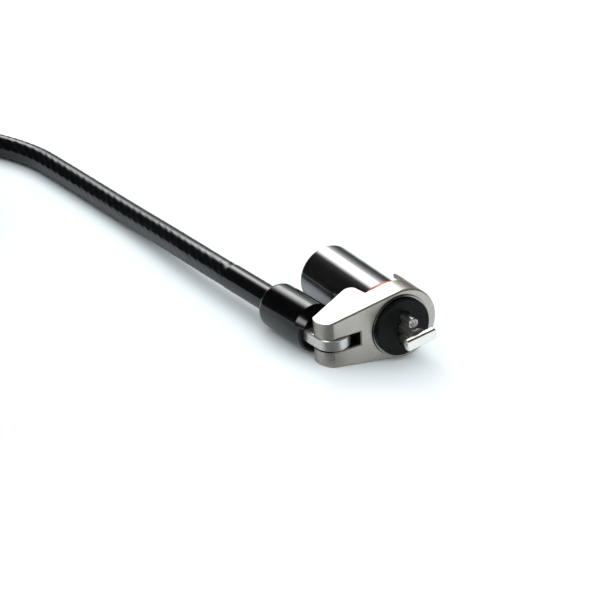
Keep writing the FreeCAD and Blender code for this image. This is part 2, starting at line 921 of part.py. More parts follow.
COIL_MIDDLE = Vector(-82.0, 112.0, 0)
COIL_LIFT = 0.9  # the tie passes below the coil
TURN_PITCH = 5.75
LAYER_STEP = 5.8
INNER_RADIUS = 22.55
COIL_START = 90  # degrees, seen from above, anticlockwise
CLIMB_SPAN = 180  # degrees of turn in which the cable climbs a layer
END_RUN = 11.0  # straight run before and after the coil
FITTING_RUN = 12.0  # straight run out of each sleeve
FIRST_TURNS = 2.25
LAYER_TURNS = 2.0
LAYERS = 4


def coil_point(angle):
    """Place and unit direction on the coil's centre line after angle degrees."""
    reversals = [360 * (FIRST_TURNS + LAYER_TURNS * n) for n in range(LAYERS - 1)]
    low = SIZES["floor"] + COIL_LIFT + SIZES["cable_radius"]
    inner_reach = TURN_PITCH * FIRST_TURNS
    way, radius, layer, climb = -1, INNER_RADIUS + inner_reach, 0.0, 0.0
    before = 0.0
    for reversal in reversals:
        span = min(angle, reversal) - before
        radius += way * TURN_PITCH * span / 360
        share = (angle - reversal) / CLIMB_SPAN + 0.5
        if share >= 1:
            layer += 1
        elif share > 0:
            layer += 3 * share**2 - 2 * share**3
            climb = LAYER_STEP * 6 * share * (1 - share) / math.pi
        if angle <= reversal:
            break
        before = reversal
        way = -way
    else:
        radius += way * TURN_PITCH * (angle - before) / 360
    at_reversal = any(abs(angle - r) < 1e-6 for r in reversals)
    slope = 0.0 if at_reversal else way * TURN_PITCH / (2 * math.pi)
    along = math.radians(COIL_START + angle)
    out = Vector(math.cos(along), math.sin(along), 0)
    side = Vector(-math.sin(along), math.cos(along), 0)
    place = COIL_MIDDLE + out * radius + Vector(0, 0, low + LAYER_STEP * layer)
    direction = out * slope + side * radius + Vector(0, 0, climb)
    return place, direction.normalize()


def arc_from(start, direction, stop):
    """The arc that leaves start along direction and ends at stop."""
    chord = stop - start
    normal = chord - direction * chord.dot(direction)
    if normal.Length < 1e-7:
        return Part.LineSegment(start, stop)
    normal.normalize()
    radius = chord.dot(chord) / (2 * normal.dot(chord))
    centre = start + normal * radius
    middle = ((start - centre) + (stop - centre)).normalize()
    return Part.Arc(start, centre + middle * abs(radius), stop)


def biarc(start, start_way, stop, stop_way):
    """Two arcs that join two places and keep both directions."""
    chord = stop - start
    both = start_way + stop_way
    weight = 2 * (1 - start_way.dot(stop_way))
    root = math.sqrt(chord.dot(both) ** 2 + weight * chord.dot(chord))
    reach = (root - chord.dot(both)) / weight
    middle = (start + stop + (start_way - stop_way) * reach) * 0.5
    first = arc_from(start, start_way, middle)
    second = arc_from(stop, stop_way * -1, middle)
    return [first, second]


def sweep(edges, start, direction, radius):
    """A solid tube along joined edges."""
    spine = Part.Wire(Part.sortEdges([edge.toShape() for edge in edges])[0])
    circle = Part.Wire(Part.Circle(start, direction, radius).toShape())
    shell = Part.BRepOffsetAPI.MakePipeShell(spine)
    shell.add(circle, False, False)
    shell.build()
    shell.makeSolid()
    tube = shell.shape()
    expected = math.pi * radius**2 * spine.Length
    print("tube length %.1f, volume share %.4f" % (spine.Length, tube.Volume / expected))
    return tube


ARC_SHARE = 0.45  # of the shorter run beside a corner


def route_edges(points):
    """Straight runs joined by tangent arcs as large as the runs allow."""
    edges, radii, here = [], [], points[0]
    for before, corner, after in zip(points, points[1:], points[2:]):
        come, leave = corner - before, after - corner
        half = come.getAngle(leave) / 2
        cut = ARC_SHARE * min(come.Length, leave.Length)
        radii.append(cut / math.tan(half))
        come.normalize()
        leave.normalize()
        start, stop = corner - come * cut, corner + leave * cut
        edges.append(Part.LineSegment(here, start))
        edges.append(arc_from(start, come, stop))
        here = stop
    edges.append(Part.LineSegment(here, points[-1]))
    print("route radii", " ".join("%.0f" % r for r in radii))
    return edges


def put(document, name, shape, place=None):
    feature = document.addObject("Part::Feature", name)
    feature.Label = name
    feature.Shape = shape
    feature.Placement = place or Placement()
    return feature


def cable_exit():
    """Where the cable leaves the smooth sleeve, and which way."""
    place = cable_end_place()
    middle = place.multVec(Vector(0, SIZES["sleeve_back"], 0))
    return middle, place.Rotation.multVec(Vector(0, 1, 0))


def coil_ends():
    """The coil's two open ends, each one diameter straight out of its turns."""
    straight = 2 * SIZES["cable_radius"]
    start, start_way = coil_point(0)
    stop, stop_way = coil_point(coil_turn())
    return (start - start_way * straight, start_way), (stop + stop_way * straight, stop_way)


def coil_turn():
    return 360 * (FIRST_TURNS + LAYER_TURNS * (LAYERS - 1))


def run_points():
    """From the sleeve down to the floor, straight back, and round to the coil."""
    start, way = cable_exit()
    (coil_entry, entry_way), _ = coil_ends()
    return [
        start,
        start + way * FITTING_RUN,
        Vector(-17.35, 64.0, -3.35),
        Vector(-17.95, 79.0, -4.05),
        Vector(-18.95, 95.0, -4.38),
        Vector(-20.30, 110.0, -4.38),
        Vector(-21.90, 125.5, -4.36),
        Vector(-30.60, 139.0, -4.15),
        Vector(-45.00, 147.30, -3.60),
        coil_entry - entry_way * END_RUN,
        coil_entry,
    ]


def cable_run(document):
    """The stretch of cable from the sleeve to the coil."""
    points = run_points()
    edges = route_edges(points)
    way = (points[1] - points[0]).normalize()
    return put(document, "cable_run", sweep(edges, points[0], way, SIZES["cable_radius"]))


def coil_gap():
    """The least gap between turns, measured on points of the centre line."""
    step, nearest_turn = 7.5, 270
    count = int(coil_turn() / step) + 1
    places = [coil_point(n * step)[0] for n in range(count)]
    apart = int(nearest_turn / step)
    least = min(
        (places[a] - places[b]).Length for a in range(count) for b in range(a + apart, count)
    )
    return least - 2 * SIZES["cable_radius"]


def cable_coil(document):
    """The put-away length: four layers that spiral in and out again."""
    (entry, entry_way), (leave, leave_way) = coil_ends()
    quarters = int(coil_turn() / 90)
    edges = [Part.LineSegment(entry, coil_point(0)[0])]
    for quarter in range(quarters):
        edges += biarc(*coil_point(90 * quarter), *coil_point(90 * (quarter + 1)))
    edges.append(Part.LineSegment(coil_point(90 * quarters)[0], leave))
    print("coil gap %.2f" % coil_gap())
    return put(document, "cable_coil", sweep(edges, entry, entry_way, SIZES["cable_radius"]))


TIE_ANGLE = 300  # degrees, seen from above
TIE_WIDTH = 6.0
TIE_THICKNESS = 0.8
TIE_ROOM = 0.2
TIE_CORNER = 1.5


def coil_tie(document):
    """Strap round the coil's bundle of turns."""
    passes = [a for a in range(0, int(coil_turn()), 30)
              if (COIL_START + a) % 360 == TIE_ANGLE]
    places = [coil_point(a)[0] for a in passes]
    radii = [(p - Vector(COIL_MIDDLE.x, COIL_MIDDLE.y, p.z)).Length for p in places]
    room = SIZES["cable_radius"] + TIE_ROOM
    inner, outer = min(radii) - room, max(radii) + room
    low = SIZES["floor"] + TIE_THICKNESS
    high = max(p.z for p in places) + room
    grow = TIE_THICKNESS
    strap = Part.makeBox(
        outer - inner + 2 * grow, TIE_WIDTH, high - low + 2 * grow,
        Vector(inner - grow, -TIE_WIDTH / 2, low - grow),
    )
    corners = [e for e in strap.Edges if e.BoundBox.YLength > TIE_WIDTH / 2]
    strap = strap.makeFillet(TIE_CORNER, corners)
    hollow = Part.makeBox(
        outer - inner, TIE_WIDTH + 2 * OUTSIDE, high - low,
        Vector(inner, -TIE_WIDTH / 2 - OUTSIDE, low)
    )
    place = Placement(COIL_MIDDLE, Rotation(Vector(0, 0, 1), TIE_ANGLE))
    return put(document, "coil_tie", strap.cut(hollow), place)


# Anchor end: the cable passes through the crimp sleeve, forms a loop and
# comes back into the sleeve's second hole.

SLEEVE_LENGTH = 20.0
HOLE_APART = 5.8
SLEEVE_WALL = 0.75
LOOP_RADIUS = 15.5
STRAND_SHORT = 1.0  # the returning strand ends inside the sleeve
FITTING_PLACE = Vector(-109.0, 51.0, -3.63)
FITTING_TURN = 7.0  # degrees, heading towards the front and a little right


def fitting_place():
    return Placement(FITTING_PLACE, Rotation(Vector(0, 0, 1), FITTING_TURN))


def end_sleeve(document):
    """Flat oval sleeve crimped over both strands."""
    radius = SIZES["cable_radius"] + SLEEVE_WALL
    half = HOLE_APART / 2
    body = new_body(document, "end_sleeve")
    oval = [
        (-half, -radius),
        (half, -radius, radius),
        (half + radius, 0, radius),
        (half, radius),
        (-half, radius, radius),
        (-half - radius, 0, radius),
    ]
    pad_back(body, "oval", -SLEEVE_LENGTH, SLEEVE_LENGTH, lambda sketch: draw(sketch, oval))
    for name, side in (("hole_left", -half), ("hole_right", half)):
        cut_back(body, name, -SLEEVE_LENGTH - OUTSIDE, SLEEVE_LENGTH + 2 * OUTSIDE,
                 circle_drawing(side, 0, size("cable_radius")))
    body.Placement = fitting_place()
    return body


def end_loop(document):
    """Both strands in the sleeve and the eye that they form."""
    half = HOLE_APART / 2
    turn = math.acos((LOOP_RADIUS + half) / (2 * LOOP_RADIUS))
    low = -SLEEVE_LENGTH
    meet = Vector(half + LOOP_RADIUS * (1 - math.cos(turn)), low - LOOP_RADIUS * math.sin(turn), 0)
    centre = Vector(0, low - 2 * LOOP_RADIUS * math.sin(turn), 0)
    tip = centre - Vector(0, LOOP_RADIUS, 0)
    mirrored = Vector(-meet.x, meet.y, 0)
    left, right = Vector(-half, low, 0), Vector(half, low, 0)
    down = Vector(0, -1, 0)
    edges = [
        Part.LineSegment(Vector(-half, 0, 0), left),
        arc_from(left, down, mirrored),
        arc_from(tip, Vector(-1, 0, 0), mirrored),
        arc_from(tip, Vector(1, 0, 0), meet),
        arc_from(right, down, meet),
        Part.LineSegment(right, Vector(half, -STRAND_SHORT, 0)),
    ]
    tube = sweep(edges, Vector(-half, 0, 0), down, SIZES["cable_radius"])
    return put(document, "end_loop", tube, fitting_place())


def tail_points():
    """Down from the coil's top layer to the sleeve on the floor."""
    _, (start, way) = coil_ends()
    place = fitting_place()
    stop = place.multVec(Vector(-HOLE_APART / 2, 0, 0))
    back = place.Rotation.multVec(Vector(0, 1, 0))
    return [
        start,
        start + way * END_RUN,
        Vector(-115.9, 83.6, 9.3),
        Vector(-114.0, 74.2, 0.9),
        stop + back * FITTING_RUN,
        stop,
    ]


def cable_tail(document):
    """The stretch from the coil to the crimp sleeve."""
    points = tail_points()
    edges = route_edges(points)
    way = (points[1] - points[0]).normalize()
    return put(document, "cable_tail", sweep(edges, points[0], way, SIZES["cable_radius"]))


def build(document):
    pieces = [
        lock_body(document),
        barrel_shell(document),
        nose_disc(document),
        guard_pin(document, "guard_pin_upper", SIZES["pin_line_angle"]),
        guard_pin(document, "guard_pin_lower", SIZES["pin_line_angle"] + 180),
        ring(document, "swivel_washer", size("washer_front"), size("barrel_front"),
             size("journal_radius"), size("washer_radius")),
        lock_core(document),
        t_bar(document),
        stem_clip(document),
        stop_pin(document),
        side_bar(document),
        key_disc(document),
        swivel_bracket(document),
        hinge_pin(document),
        eye_tang(document),
        cable_boot(document),
        rope_core(document),
        smooth_sleeve(document),
        cable_run(document),
        cable_coil(document),
        coil_tie(document),
        cable_tail(document),
        end_sleeve(document),
        end_loop(document),
    ]
    for number in range(DISCS):
        pieces.append(code_disc(document, number))
        pieces.append(disc_spacer(document, number))
    return pieces


def check(document, pieces):
    """Stop if any object or solid is bad."""
    document.recompute()
    for thing in document.Objects:
        if "Invalid" in thing.State or "Error" in thing.State:
            raise RuntimeError("bad object " + thing.Name)
    for piece in pieces:
        shape = piece.Shape
        if shape.isNull() or not shape.isValid() or shape.Volume <= 0:
            raise RuntimeError("bad shape " + piece.Label)
        print("%-16s solids %d volume %.1f" % (piece.Label, len(shape.Solids), shape.Volume))


def main():
    document = FreeCAD.newDocument("laptop_cable_lock")
    write_sheet(document)
    pieces = build(document)
    check(document, pieces)
    os.makedirs("parts", exist_ok=True)
    for piece in pieces:
        piece.Shape.exportStep("parts/%s.step" % piece.Label)


main()
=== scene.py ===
import math

import bmesh
import bpy
from mathutils import Matrix, Vector


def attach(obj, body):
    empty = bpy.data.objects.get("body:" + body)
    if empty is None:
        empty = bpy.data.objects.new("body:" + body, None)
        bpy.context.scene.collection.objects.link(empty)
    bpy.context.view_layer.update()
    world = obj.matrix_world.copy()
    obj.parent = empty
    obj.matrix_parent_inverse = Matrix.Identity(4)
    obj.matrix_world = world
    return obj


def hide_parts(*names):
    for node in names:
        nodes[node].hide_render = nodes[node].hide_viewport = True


# Laptop cable lock on a white table, in metres.
# X is right, Y runs back along the barrel, Z is up.

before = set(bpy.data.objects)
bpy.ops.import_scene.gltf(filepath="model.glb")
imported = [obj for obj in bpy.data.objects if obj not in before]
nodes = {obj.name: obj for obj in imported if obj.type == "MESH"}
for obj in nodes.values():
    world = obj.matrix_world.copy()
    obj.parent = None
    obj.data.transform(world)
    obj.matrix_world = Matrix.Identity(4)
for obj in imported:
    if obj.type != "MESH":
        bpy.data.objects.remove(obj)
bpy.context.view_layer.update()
print("stage: frame loaded")


# helpers for materials

def newMaterial(name):
    material = bpy.data.materials.new(name)
    material.use_nodes = True
    return material, material.node_tree


def feed(tree, node, feeds):
    # gives each input its value, or links it to another node's socket
    for label, value in feeds.items():
        if isinstance(value, bpy.types.NodeSocket):
            tree.links.new(value, node.inputs[label])
        else:
            node.inputs[label].default_value = value


def newNode(tree, kind, feeds=None, **settings):
    node = tree.nodes.new(kind)
    for key, value in settings.items():
        setattr(node, key, value)
    feed(tree, node, feeds or {})
    return node


def newMath(tree, operation, *values):
    node = newNode(tree, "ShaderNodeMath", dict(enumerate(values)), operation=operation)
    return node.outputs["Value"]


def opaque(color):
    return (*color, 1)


# camera, table and light

cameraView = {
    "place": (-0.223378, -0.319325, 0.162556),
    "right": (0.86158, -0.50127, 0.07999),
    "up": (0.12701, 0.36544, 0.92213),
    "lens": 130.68,
    "sensor": 36,
    "nearest": 0.01,
}


def makeCamera():
    bpy.ops.object.camera_add(location=cameraView["place"])
    camera = bpy.context.object
    camera.name = "photoCamera"
    right, up = Vector(cameraView["right"]), Vector(cameraView["up"])
    turn = Matrix((right, up, right.cross(up))).transposed()
    camera.rotation_mode = "QUATERNION"
    camera.rotation_quaternion = turn.to_quaternion()
    camera.data.lens = cameraView["lens"]
    camera.data.sensor_width = cameraView["sensor"]
    camera.data.clip_start = cameraView["nearest"]
    bpy.context.scene.camera = camera


tableTop = {
    "height": -0.00703,
    "size": 6.0,
    "color": (0.90, 0.945, 0.95),
    "rough": 0.5,
    "shine": 0.0,
}


def makeTable():
    bpy.ops.mesh.primitive_plane_add(size=tableTop["size"], location=(0, 0, tableTop["height"]))
    table = bpy.context.object
    table.name = "tableTop"
    material, tree = newMaterial("whiteTable")
    feed(tree, tree.nodes["Principled BSDF"], {
        "Base Color": opaque(tableTop["color"]),
        "Roughness": tableTop["rough"],
        "Specular IOR Level": tableTop["shine"],
    })
    table.data.materials.append(material)


# each card: where it stands, width and height, brightness, edge softness, and what it lights
lightCards = {
    "backSoftbox": {"place": (0.14, 0.63, 0.48), "size": (0.56, 0.56), "power": 7.5,
                    "soft": 1.0, "gloss": True, "shade": True},
    "rightGlow": {"place": (0.296, 0.608, 0.403), "size": (0.76, 0.76), "power": 1.2,
                  "soft": 1.0, "gloss": True, "shade": False},
    "leftCard": {"place": (-0.66, -0.40, 0.12), "size": (0.50, 0.30), "power": 2.4,
                 "soft": 0.9, "gloss": True, "shade": False},
    "upperLeft": {"place": (-0.70, -0.15, 0.32), "size": (0.60, 0.50), "power": 8.0,
                  "soft": 0.8, "gloss": True, "shade": False},
    "rearShade": {"place": (0.95, 0.75, 0.85), "size": (1.4, 1.4), "power": 1.3,
                  "soft": 0.8, "gloss": False, "shade": True},
}
lightTarget = Vector((-0.01, 0.01, 0.0))

# painted dark reflection: black sheets lying on the table at the front and left, seen only in
# reflections
darkCards = {
    "frontDarkReflection": {"place": (-0.0226, -0.017), "size": (0.034, 0.045), "turn": -20,
                    "dark": 0.92, "soft": 0.32},
    "leftDarkReflection": {"place": (-0.058, 0), "size": (0.09, 0.1), "turn": 0,
                   "dark": 0.55, "soft": 0.35},
}
darkLift = 0.00005
cardReach = 0.5  # from the middle of a unit plane to its edge


def newFade(tree, strength, soft):
    # strongest in the card's middle, fading to nothing at its edge
    coords = newNode(tree, "ShaderNodeTexCoord")
    distance = newNode(tree, "ShaderNodeVectorMath", {0: coords.outputs["Object"]},
                       operation="LENGTH")
    fade = newNode(tree, "ShaderNodeMapRange", {
        "Value": distance.outputs["Value"],
        "From Min": cardReach,
        "From Max": cardReach * (1 - soft),
        "To Max": strength,
    }, interpolation_type="SMOOTHSTEP")
    return fade.outputs["Result"]


def lightMaterial(name, card):
    # light is added to what lies behind, so that cards can overlap
    material, tree = newMaterial(name)
    tree.nodes.clear()
    glow = newNode(tree, "ShaderNodeEmission",
                   {"Strength": newFade(tree, card["power"], card["soft"])})
    clear = newNode(tree, "ShaderNodeBsdfTransparent")
    both = newNode(tree, "ShaderNodeAddShader",
                   {0: glow.outputs["Emission"], 1: clear.outputs["BSDF"]})
    newNode(tree, "ShaderNodeOutputMaterial", {"Surface": both.outputs["Shader"]})
    return material


# black sheet fading out at its edge, for the painted dark reflection
def darkMaterial(name, card):
    material, tree = newMaterial(name)
    tree.nodes.clear()
    clear = newNode(tree, "ShaderNodeBsdfTransparent")
    black = newNode(tree, "ShaderNodeBsdfDiffuse", {"Color": opaque((0, 0, 0))})
    both = newNode(tree, "ShaderNodeMixShader", {
        "Fac": newFade(tree, card["dark"], card["soft"]),
        1: clear.outputs["BSDF"],
        2: black.outputs["BSDF"],
    })
    newNode(tree, "ShaderNodeOutputMaterial", {"Surface": both.outputs["Shader"]})
    return material


def newPanel(name, place, size, material):
    bpy.ops.mesh.primitive_plane_add(size=1, location=place)
    panel = bpy.context.object
    panel.name = name
    panel.scale = (*size, 1)
    panel.data.materials.append(material)
    panel.visible_camera = False
    return panel


def makeLightCards():
    for name, card in lightCards.items():
        panel = newPanel(name, card["place"], card["size"], lightMaterial(name, card))
        away = lightTarget - Vector(card["place"])
        panel.rotation_mode = "QUATERNION"
        panel.rotation_quaternion = away.to_track_quat("Z", "Y")
        panel.visible_glossy = card["gloss"]
        panel.visible_diffuse = card["shade"]


# lays the painted-reflection sheets on the table, hidden from the camera, from diffuse light and
# from shadows
def makeDarkCards():
    height = tableTop["height"]
    for name, card in darkCards.items():
        height += darkLift
        panel = newPanel(name, (*card["place"], height), card["size"], darkMaterial(name, card))
        panel.rotation_euler = (0, 0, math.radians(card["turn"]))
        panel.visible_diffuse = False
        panel.visible_shadow = False


skyLight = {
    "seen": (1, 1, 1),
    "ambient": (0.93, 0.97, 1.0),
    "ambientPower": 1.12,
    "reflected": (0.02, 0.02, 0.021),
}


def makeSky():
    world = bpy.data.worlds.new("studio")
    bpy.context.scene.world = world
    world.use_nodes = True
    tree = world.node_tree
    tree.nodes.clear()
    path = newNode(tree, "ShaderNodeLightPath")
    ambient = newNode(tree, "ShaderNodeBackground", {
        "Color": opaque(skyLight["ambient"]), "Strength": skyLight["ambientPower"]})
    reflected = newNode(tree, "ShaderNodeBackground", {"Color": opaque(skyLight["reflected"])})
    seen = newNode(tree, "ShaderNodeBackground", {"Color": opaque(skyLight["seen"])})
    unseen = newNode(tree, "ShaderNodeMixShader", {
        "Fac": path.outputs["Is Glossy Ray"],
        1: ambient.outputs["Background"],
        2: reflected.outputs["Background"],
    })
    whole = newNode(tree, "ShaderNodeMixShader", {
        "Fac": path.outputs["Is Camera Ray"],
        1: unseen.outputs["Shader"],
        2: seen.outputs["Background"],
    })
    newNode(tree, "ShaderNodeOutputWorld", {"Surface": whole.outputs["Shader"]})


bpy.ops.object.select_all(action="DESELECT")
bpy.context.scene.view_settings.view_transform = "Standard"
makeCamera()
makeTable()
makeLightCards()
makeDarkCards()
makeSky()
print("stage: camera, table and light")


# node groups shared by the finishes

groupFacts = {
    "grainDetail": 4,
    "handDetail": 3,
    "handDistortion": 0.6,
    "handSpread": (0.35, 0.68),
    "tintDetail": 5,
    "cloudScale": 420,
    "cloudDetail": 3,
    "bumpDistance": 0.0001,
    "slotTilt": 8.9,  # degrees; the bracket lies on its lower flank
}


def newGroup(name, inputs, outputs):
    group = bpy.data.node_groups.new(name, "ShaderNodeTree")
    for label, kind, value in inputs:
        socket = group.interface.new_socket(label, in_out="INPUT", socket_type=kind)
        socket.default_value = value
    for label, kind in outputs:
        group.interface.new_socket(label, in_out="OUTPUT", socket_type=kind)
    return group, group.nodes.new("NodeGroupInput"), group.nodes.new("NodeGroupOutput")


def newMix(group, factor, tone, otherTone):
    mix = newNode(group, "ShaderNodeMix", {"Factor": factor, "A": tone, "B": otherTone},
                  data_type="RGBA")
    return mix.outputs["Result"]


def makeGrainGroup():
    # small relief for cast and moulded skins
    group, start, end = newGroup(
        "skinGrain",
        [("Size", "NodeSocketFloat", 2500.0), ("Depth", "NodeSocketFloat", 0.2),
         ("Stretch", "NodeSocketVector", (1, 1, 1))],
        [("Normal", "NodeSocketVector")],
    )
    coords = newNode(group, "ShaderNodeTexCoord")
    mapping = newNode(group, "ShaderNodeMapping", {
        "Vector": coords.outputs["Object"], "Scale": start.outputs["Stretch"]})
    noise = newNode(group, "ShaderNodeTexNoise", {
        "Vector": mapping.outputs["Vector"],
        "Scale": start.outputs["Size"],
        "Detail": groupFacts["grainDetail"],
    })
    bump = newNode(group, "ShaderNodeBump", {
        "Strength": start.outputs["Depth"],
        "Height": noise.outputs["Fac"],
        "Distance": groupFacts["bumpDistance"],
    })
    feed(group, end, {"Normal": bump.outputs["Normal"]})
    return group


def makeHandlingGroup():
    # broad smudges from hands: roughness between two values
    group, start, end = newGroup(
        "handling",
        [("Size", "NodeSocketFloat", 300.0), ("Clean", "NodeSocketFloat", 0.1),
         ("Dull", "NodeSocketFloat", 0.2)],
        [("Roughness", "NodeSocketFloat")],
    )
    low, high = groupFacts["handSpread"]
    coords = newNode(group, "ShaderNodeTexCoord")
    noise = newNode(group, "ShaderNodeTexNoise", {
        "Vector": coords.outputs["Object"],
        "Scale": start.outputs["Size"],
        "Detail": groupFacts["handDetail"],
        "Distortion": groupFacts["handDistortion"],
    })
    spread = newNode(group, "ShaderNodeMapRange", {
        "Value": noise.outputs["Fac"],
        "From Min": low,
        "From Max": high,
        "To Min": start.outputs["Clean"],
        "To Max": start.outputs["Dull"],
    })
    feed(group, end, {"Roughness": spread.outputs["Result"]})
    return group


def makeTintGroup():
    # colour that drifts slightly between two tones
    group, start, end = newGroup(
        "toneDrift",
        [("Size", "NodeSocketFloat", 400.0), ("Tone", "NodeSocketColor", (1, 1, 1, 1)),
         ("Other Tone", "NodeSocketColor", (1, 1, 1, 1))],
        [("Color", "NodeSocketColor")],
    )
    coords = newNode(group, "ShaderNodeTexCoord")
    noise = newNode(group, "ShaderNodeTexNoise", {
        "Vector": coords.outputs["Object"],
        "Scale": start.outputs["Size"],
        "Detail": groupFacts["tintDetail"],
    })
    color = newMix(group, noise.outputs["Fac"], start.outputs["Tone"], start.outputs["Other Tone"])
    feed(group, end, {"Color": color})
    return group


def makeWireGroup():
    # the rope's outer wires, faintly seen through the jacket; U runs round it, V along it
    group, start, end = newGroup(
        "wireTrace",
        [("Wires", "NodeSocketFloat", 12.0), ("Waver", "NodeSocketFloat", 1.5),
         ("Depth", "NodeSocketFloat", 0.3), ("Tone", "NodeSocketColor", (0, 0, 0, 1)),
         ("Other Tone", "NodeSocketColor", (0.02, 0.02, 0.02, 1))],
        [("Color", "NodeSocketColor"), ("Normal", "NodeSocketVector")],
    )
    place = newNode(group, "ShaderNodeUVMap", uv_map="jacket")
    split = newNode(group, "ShaderNodeSeparateXYZ", {"Vector": place.outputs["UV"]})
    coords = newNode(group, "ShaderNodeTexCoord")
    cloud = newNode(group, "ShaderNodeTexNoise", {
        "Vector": coords.outputs["Object"],
        "Scale": groupFacts["cloudScale"],
        "Detail": groupFacts["cloudDetail"],
    })
    shift = newMath(group, "MULTIPLY", cloud.outputs["Fac"], start.outputs["Waver"])
    turns = newMath(group, "MULTIPLY", split.outputs["X"], start.outputs["Wires"])
    wave = newMath(group, "SINE", newMath(group, "MULTIPLY_ADD", turns, 2 * math.pi, shift))
    ridge = newNode(group, "ShaderNodeMapRange", {"Value": wave, "From Min": -1})
    patchy = newMath(group, "MULTIPLY", ridge.outputs["Result"], cloud.outputs["Fac"])
    color = newMix(group, patchy, start.outputs["Tone"], start.outputs["Other Tone"])
    bump = newNode(group, "ShaderNodeBump", {
        "Strength": start.outputs["Depth"],
        "Height": patchy,
        "Distance": groupFacts["bumpDistance"],
    })
    feed(group, end, {"Color": color, "Normal": bump.outputs["Normal"]})
    return group


def makeSlotGroup():
    # painted shade: darkens what lies deep in the bracket's slot, where shade falls; the place is
    # turned level first
    group, start, end = newGroup(
        "slotShade",
        [("Low", "NodeSocketFloat", 0.0), ("High", "NodeSocketFloat", 0.001),
         ("End", "NodeSocketFloat", -0.009), ("Color", "NodeSocketColor", (1, 1, 1, 1)),
         ("Shade", "NodeSocketColor", (0, 0, 0, 1))],
        [("Color", "NodeSocketColor")],
    )
    coords = newNode(group, "ShaderNodeTexCoord")
    level = newNode(group, "ShaderNodeMapping", {
        "Vector": coords.outputs["Object"],
        "Rotation": (0, math.radians(groupFacts["slotTilt"]), 0),
    })
    split = newNode(group, "ShaderNodeSeparateXYZ", {"Vector": level.outputs["Vector"]})
    above = newMath(group, "GREATER_THAN", split.outputs["Z"], start.outputs["Low"])
    below = newMath(group, "LESS_THAN", split.outputs["Z"], start.outputs["High"])
    within = newMath(group, "LESS_THAN", split.outputs["X"], start.outputs["End"])
    deep = newMath(group, "MULTIPLY", newMath(group, "MULTIPLY", above, below), within)
    color = newMix(group, deep, start.outputs["Color"], start.outputs["Shade"])
    feed(group, end, {"Color": color})
    return group


skinGrain = makeGrainGroup()
wireTrace = makeWireGroup()
slotShade = makeSlotGroup()
handling = makeHandlingGroup()
toneDrift = makeTintGroup()

ropeWires = 12  # outer wires of the steel rope, seen through the jacket

# tones: base colour drifts between them; rough: clean and handled; grain: size and depth
finishes = {
    "polishedBarrel": {
        "metal": 1, "tones": ((0.28, 0.28, 0.285), (0.24, 0.24, 0.245)), "rough": (0.05, 0.08),
        "rim": (0.25, 0.25, 0.26), "coat": (1.0, 0.35),
        "grain": (5000, 0.01), "stretch": (1, 0.05, 1)},
    "satinBracket": {
        "metal": 0.8, "tones": ((0.53, 0.495, 0.45), (0.35, 0.325, 0.295)), "drift": 2600,
        "rough": (0.26, 0.34), "rim": (0.5, 0.49, 0.47), "grain": (6000, 0.16),
        # painted shade on the faces deep in the slot
        "slot": {"Low": -0.00152, "High": 0.00122, "End": -0.00888,
                 "Shade": (0.04, 0.04, 0.04, 1)}},
    "brightSteel": {
        "metal": 1, "tones": ((0.86, 0.84, 0.80), (0.74, 0.72, 0.69)), "drift": 1500,
        "rough": (0.30, 0.34), "grain": (3000, 0.015)},
    "eyeSteel": {
        "metal": 0.92, "tones": ((0.84, 0.82, 0.78), (0.70, 0.685, 0.655)), "drift": 1200,
        "rough": (0.25, 0.34), "grain": (3500, 0.05)},
    "blackDisc": {
        "metal": 0, "tones": ((0.003, 0.003, 0.003), (0.006, 0.006, 0.006)),
        "rough": (0.38, 0.50), "shine": 0.12, "grain": (7000, 0.15)},
    "bootMoulding": {
        "metal": 0, "tones": ((0.001, 0.001, 0.0011), (0.002, 0.002, 0.002)),
        "rough": (0.15, 0.20), "shine": 0.4, "grain": (3000, 0.02)},
    "sleeveMoulding": {
        "metal": 0, "tones": ((0.002, 0.002, 0.0022), (0.004, 0.004, 0.004)),
        "rough": (0.14, 0.20), "shine": 0.35, "grain": (3000, 0.03)},
    "cableJacket": {
        "metal": 0, "rough": (0.14, 0.26), "shine": 0.4,
        "wires": {"Wires": ropeWires, "Waver": 4.0, "Depth": 0.45,
                  "Tone": (0.002, 0.002, 0.0024, 1), "Other Tone": (0.012, 0.012, 0.014, 1)}},
    "crimpMetal": {
        "metal": 1, "tones": ((0.62, 0.62, 0.60), (0.48, 0.48, 0.47)),
        "rough": (0.24, 0.40), "grain": (4000, 0.15)},
    "tieStrap": {
        "metal": 0, "tones": ((0.010, 0.010, 0.011), (0.022, 0.022, 0.023)),
        "rough": (0.75, 0.9), "grain": (3800, 0.8)},
    "redWasher": {
        "metal": 0, "tones": ((0.52, 0.07, 0.02), (0.42, 0.05, 0.02)),
        "rough": (0.30, 0.42), "grain": (3000, 0.05)},
    "lockBrass": {
        "metal": 1, "tones": ((0.75, 0.56, 0.28), (0.64, 0.46, 0.22)),
        "rough": (0.25, 0.38), "grain": (4000, 0.1)},
    "lockSteel": {
        "metal": 1, "tones": ((0.55, 0.55, 0.55), (0.45, 0.45, 0.46)),
        "rough": (0.28, 0.42), "grain": (4000, 0.1)},
}
plainFinish = {"shine": 0.5, "rim": (1, 1, 1), "coat": (0.0, 0.03), "drift": 400,
               "stretch": (1, 1, 1)}


def newUse(tree, group, feeds):
    return newNode(tree, "ShaderNodeGroup", feeds, node_tree=group)


def tintAndGrain(tree, facts):
    tones = [opaque(tone) for tone in facts["tones"]]
    tint = newUse(tree, toneDrift, {
        "Size": facts["drift"], "Tone": tones[0], "Other Tone": tones[1]})
    size, depth = facts["grain"]
    grain = newUse(tree, skinGrain, {"Size": size, "Depth": depth, "Stretch": facts["stretch"]})
    color = tint.outputs["Color"]
    # the slot's painted shade goes over the tint
    if "slot" in facts:
        shade = newUse(tree, slotShade, {**facts["slot"], "Color": color})
        color = shade.outputs["Color"]
    return color, grain.outputs["Normal"]


